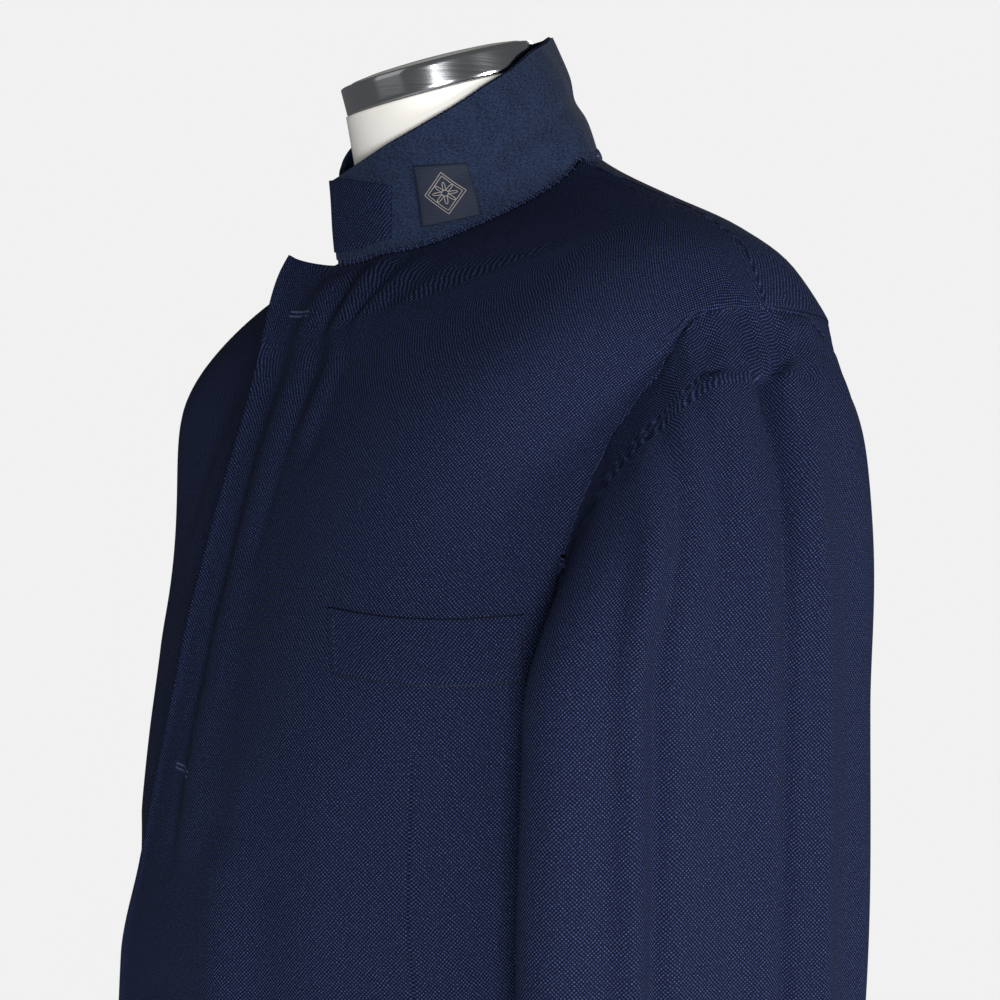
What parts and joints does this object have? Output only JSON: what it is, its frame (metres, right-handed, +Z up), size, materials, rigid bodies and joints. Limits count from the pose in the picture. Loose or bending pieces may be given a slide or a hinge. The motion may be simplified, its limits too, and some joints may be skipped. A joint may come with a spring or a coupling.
{
  "type": "blazer on a dress form",
  "caption": "Navy single-breasted blazer with its collar popped up, worn by a limbless dress form with a steel neck band on a low counter stand.",
  "frame": {"origin": "middle of the stand's underside", "axes": "+Z up, -Y the front of the blazer, +X the wearer's left"},
  "size_m": [0.5536, 0.4007, 1.0179],
  "materials": {
    "wool": "navy hopsack wool, matt",
    "felt": "blue undercollar felt, matt",
    "label": "woven label, matt",
    "button": "dark horn look, low gloss",
    "form_cover": "cream linen over padding, matt",
    "steel": "polished band, brushed pole",
    "enamel": "off-white enamel, satin"
  },
  "bodies": {
    "root": {"front_left": "wool", "front_right": "wool", "side_left": "wool", "side_right": "wool", "back_left": "wool", "back_right": "wool", "sleeve_upper_left": "wool", "sleeve_upper_right": "wool", "sleeve_under_left": "wool", "sleeve_under_right": "wool", "collar_top": "wool", "collar_end_left": "wool", "collar_end_right": "wool", "hip_flap_left": "wool", "hip_flap_right": "wool", "breast_welt": "wool", "collar_felt": "felt", "collar_label": "label", "button_top": "button", "button_waist": "button", "button_low": "button", "form_body": "form_cover", "neck_cap": "form_cover", "neck_band": "steel", "stand_flange": "steel", "stand_pole": "steel", "stand_base": "enamel"}
  },
  "joints": []
}
